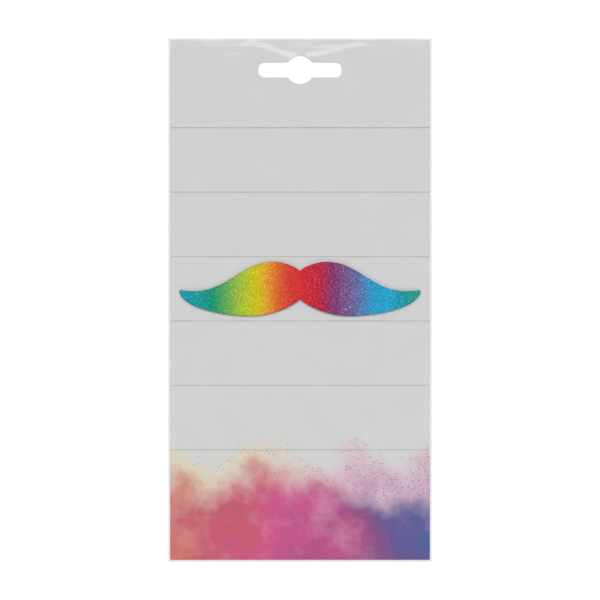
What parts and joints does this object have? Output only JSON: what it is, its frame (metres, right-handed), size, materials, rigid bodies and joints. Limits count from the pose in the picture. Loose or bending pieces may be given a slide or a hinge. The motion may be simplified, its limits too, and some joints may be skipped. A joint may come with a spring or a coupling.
{
  "type": "fake moustache on a display card",
  "caption": "Rainbow glitter stick-on moustache on a clear tear-off release film, on a flat grey display card with a hang slot.",
  "frame": {"origin": "on the card's underside, at the middle of the card", "axes": "+X to the card's right, +Y to the card's top edge with the hang slot, +Z out of the card's front"},
  "size_m": [0.1014, 0.2014, 0.002],
  "materials": {
    "card": "smooth pale grey printed board",
    "clear_film": "clear glossy release film",
    "adhesive": "tacky, slightly milky pressure-sensitive glue",
    "glitter_felt": "fine glitter felt in blended rainbow bands"
  },
  "bodies": {
    "root": {"backing_card": "card", "film_header": "clear_film", "film_strip_1": "clear_film", "film_strip_2": "clear_film", "film_strip_3": "clear_film", "film_strip_4": "clear_film", "film_strip_5": "clear_film", "film_strip_6": "clear_film", "film_footer": "clear_film", "adhesive_layer": "adhesive", "moustache": "glitter_felt"}
  },
  "joints": []
}
